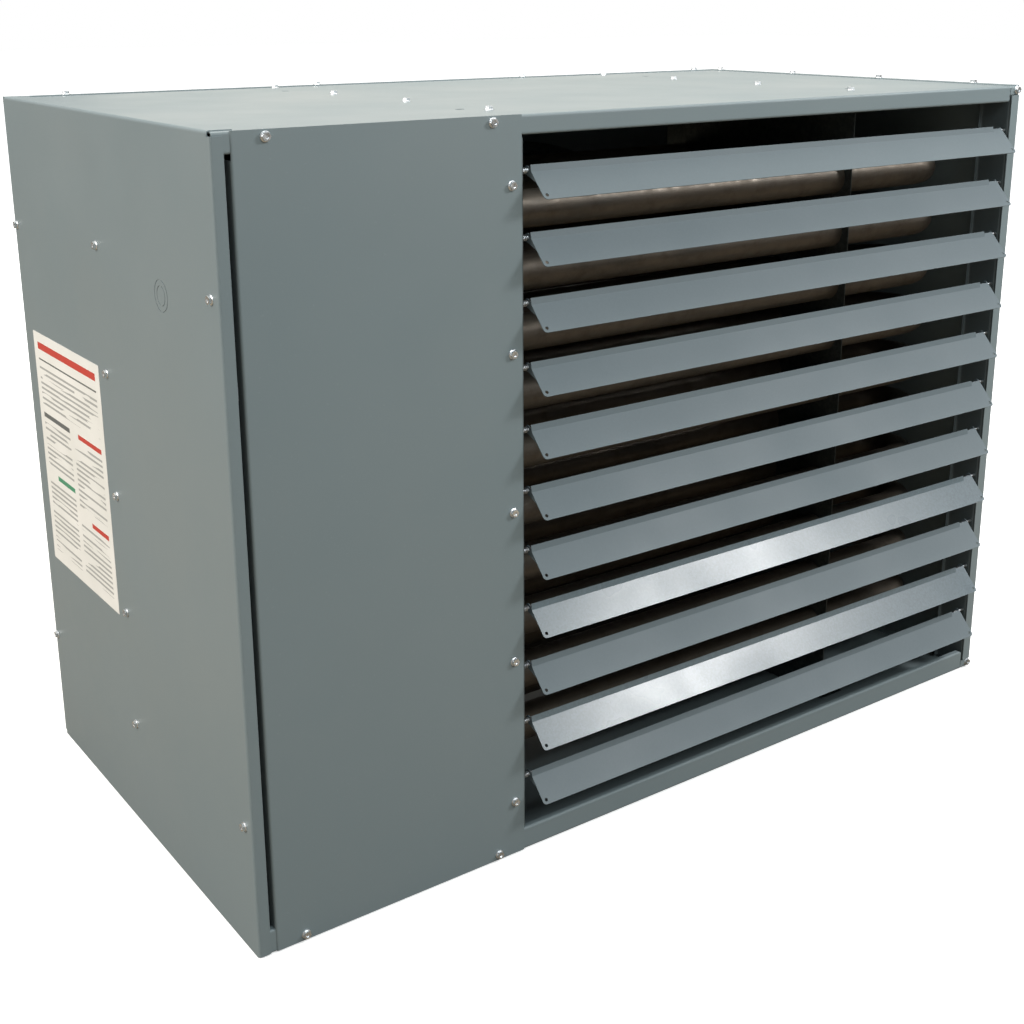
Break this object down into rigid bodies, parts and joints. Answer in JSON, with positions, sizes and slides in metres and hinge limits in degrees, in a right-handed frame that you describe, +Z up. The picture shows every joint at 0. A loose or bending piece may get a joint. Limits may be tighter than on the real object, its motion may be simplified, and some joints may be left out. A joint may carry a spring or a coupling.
{
  "type": "gas unit heater",
  "caption": "Suspended gas unit heater: sheet steel cabinet, adjustable louvre blades over a tubular heat exchanger, propeller fan behind.",
  "frame": {"origin": "middle of the cabinet's underside", "axes": "+X to the right seen from the louvre side, +Y from the louvres towards the fan, +Z up"},
  "size_m": [1.223, 0.8574, 0.893],
  "materials": {
    "cabinet_paint": "satin",
    "blade_paint": "satin",
    "zinc_plate": "bright zinc",
    "galvanised_sheet": "spangled galvanised",
    "tube_steel": "heat tinted",
    "dark_steel": "satin black",
    "pipe_black": "black pipe",
    "orifice_brass": "machined",
    "cast_aluminium": "cast",
    "label_film": "satin film",
    "circuit_board": "solder mask",
    "rod_ceramic": "glazed",
    "black_plastic": "moulded",
    "red_plastic": "moulded"
  },
  "bodies": {
    "cabinet": {"left_side_panel": "cabinet_paint", "right_side_panel": "cabinet_paint", "top_panel": "cabinet_paint", "bottom_panel": "cabinet_paint", "rear_panel": "cabinet_paint", "rear_service_panel": "cabinet_paint", "access_panel": "cabinet_paint", "partition_panel": "galvanised_sheet", "corner_angle": "galvanised_sheet", "side_stiffener": "galvanised_sheet", "hanger_rail": "galvanised_sheet", "hanger_nuts": "zinc_plate", "louver_rail_left": "galvanised_sheet", "louver_rail_right": "galvanised_sheet", "louver_pins": "zinc_plate", "louver_springs": "zinc_plate", "side_label": "label_film", "heat_exchanger_tubes": "tube_steel", "tube_support": "galvanised_sheet", "flue_collector": "galvanised_sheet", "burners": "galvanised_sheet", "burner_bracket": "galvanised_sheet", "gas_manifold": "pipe_black", "manifold_bracket": "galvanised_sheet", "burner_orifices": "orifice_brass", "gas_valve": "cast_aluminium", "gas_supply_pipe": "pipe_black", "igniter": "rod_ceramic", "flame_sensor": "rod_ceramic", "ignition_board": "circuit_board", "transformer": "dark_steel", "junction_box": "galvanised_sheet", "pressure_switch": "black_plastic", "limit_switch": "black_plastic", "rollout_switch": "black_plastic", "inducer_housing": "dark_steel", "inducer_motor": "black_plastic", "vent_collar": "galvanised_sheet", "air_intake_collar": "galvanised_sheet", "venturi_ring": "galvanised_sheet", "fan_motor": "dark_steel", "motor_bracket": "dark_steel", "fan_guard": "dark_steel", "cabinet_screws": "zinc_plate"},
    "fan": {"fan_blade": "cast_aluminium", "fan_shaft": "zinc_plate"},
    "inducer_rotor": {"inducer_wheel": "galvanised_sheet"},
    "valve_knob": {"gas_valve_knob": "red_plastic"},
    "reset_button": {"rollout_reset_button": "red_plastic"},
    "blade_1": {"louver_blade_1": "blade_paint"},
    "blade_2": {"louver_blade_2": "blade_paint"},
    "blade_3": {"louver_blade_3": "blade_paint"},
    "blade_4": {"louver_blade_4": "blade_paint"},
    "blade_5": {"louver_blade_5": "blade_paint"},
    "blade_6": {"louver_blade_6": "blade_paint"},
    "blade_7": {"louver_blade_7": "blade_paint"},
    "blade_8": {"louver_blade_8": "blade_paint"},
    "blade_9": {"louver_blade_9": "blade_paint"},
    "blade_10": {"louver_blade_10": "blade_paint"},
    "blade_11": {"louver_blade_11": "blade_paint"}
  },
  "joints": [
    {"name": "fan_spin", "type": "hinge", "parent": "cabinet", "child": "fan", "pos_m": [0.17775, 0.278, 0.4445], "axis": [0, 1, 0], "continuous": true},
    {"name": "inducer_spin", "type": "hinge", "parent": "cabinet", "child": "inducer_rotor", "pos_m": [-0.378, 0.079, 0.43], "axis": [1, 0, 0], "continuous": true},
    {"name": "valve_knob_turn", "type": "hinge", "parent": "cabinet", "child": "valve_knob", "pos_m": [-0.432, -0.269, 0.062], "axis": [0, 1, 0], "range_deg": [0, 90]},
    {"name": "reset_button_push", "type": "slide", "parent": "cabinet", "child": "reset_button", "axis": [0, 1, 0], "range_m": [0, 0.002], "stiffness_N_per_m": 200},
    {"name": "blade_1_tilt", "type": "hinge", "parent": "cabinet", "child": "blade_1", "pos_m": [0.1696, -0.3044, 0.827], "axis": [1, 0, 0], "range_deg": [-60, 38]},
    {"name": "blade_2_tilt", "type": "hinge", "parent": "cabinet", "child": "blade_2", "pos_m": [0.1696, -0.3044, 0.75396], "axis": [1, 0, 0], "range_deg": [-60, 38]},
    {"name": "blade_3_tilt", "type": "hinge", "parent": "cabinet", "child": "blade_3", "pos_m": [0.1696, -0.3044, 0.68092], "axis": [1, 0, 0], "range_deg": [-60, 38]},
    {"name": "blade_4_tilt", "type": "hinge", "parent": "cabinet", "child": "blade_4", "pos_m": [0.1696, -0.3044, 0.60788], "axis": [1, 0, 0], "range_deg": [-60, 38]},
    {"name": "blade_5_tilt", "type": "hinge", "parent": "cabinet", "child": "blade_5", "pos_m": [0.1696, -0.3044, 0.53484], "axis": [1, 0, 0], "range_deg": [-60, 38]},
    {"name": "blade_6_tilt", "type": "hinge", "parent": "cabinet", "child": "blade_6", "pos_m": [0.1696, -0.3044, 0.4618], "axis": [1, 0, 0], "range_deg": [-60, 38]},
    {"name": "blade_7_tilt", "type": "hinge", "parent": "cabinet", "child": "blade_7", "pos_m": [0.1696, -0.3044, 0.38876], "axis": [1, 0, 0], "range_deg": [-60, 38]},
    {"name": "blade_8_tilt", "type": "hinge", "parent": "cabinet", "child": "blade_8", "pos_m": [0.1696, -0.3044, 0.31572], "axis": [1, 0, 0], "range_deg": [-60, 38]},
    {"name": "blade_9_tilt", "type": "hinge", "parent": "cabinet", "child": "blade_9", "pos_m": [0.1696, -0.3044, 0.24268], "axis": [1, 0, 0], "range_deg": [-60, 38]},
    {"name": "blade_10_tilt", "type": "hinge", "parent": "cabinet", "child": "blade_10", "pos_m": [0.1696, -0.3044, 0.16964], "axis": [1, 0, 0], "range_deg": [-60, 38]},
    {"name": "blade_11_tilt", "type": "hinge", "parent": "cabinet", "child": "blade_11", "pos_m": [0.1696, -0.3044, 0.0966], "axis": [1, 0, 0], "range_deg": [-60, 38]}
  ]
}
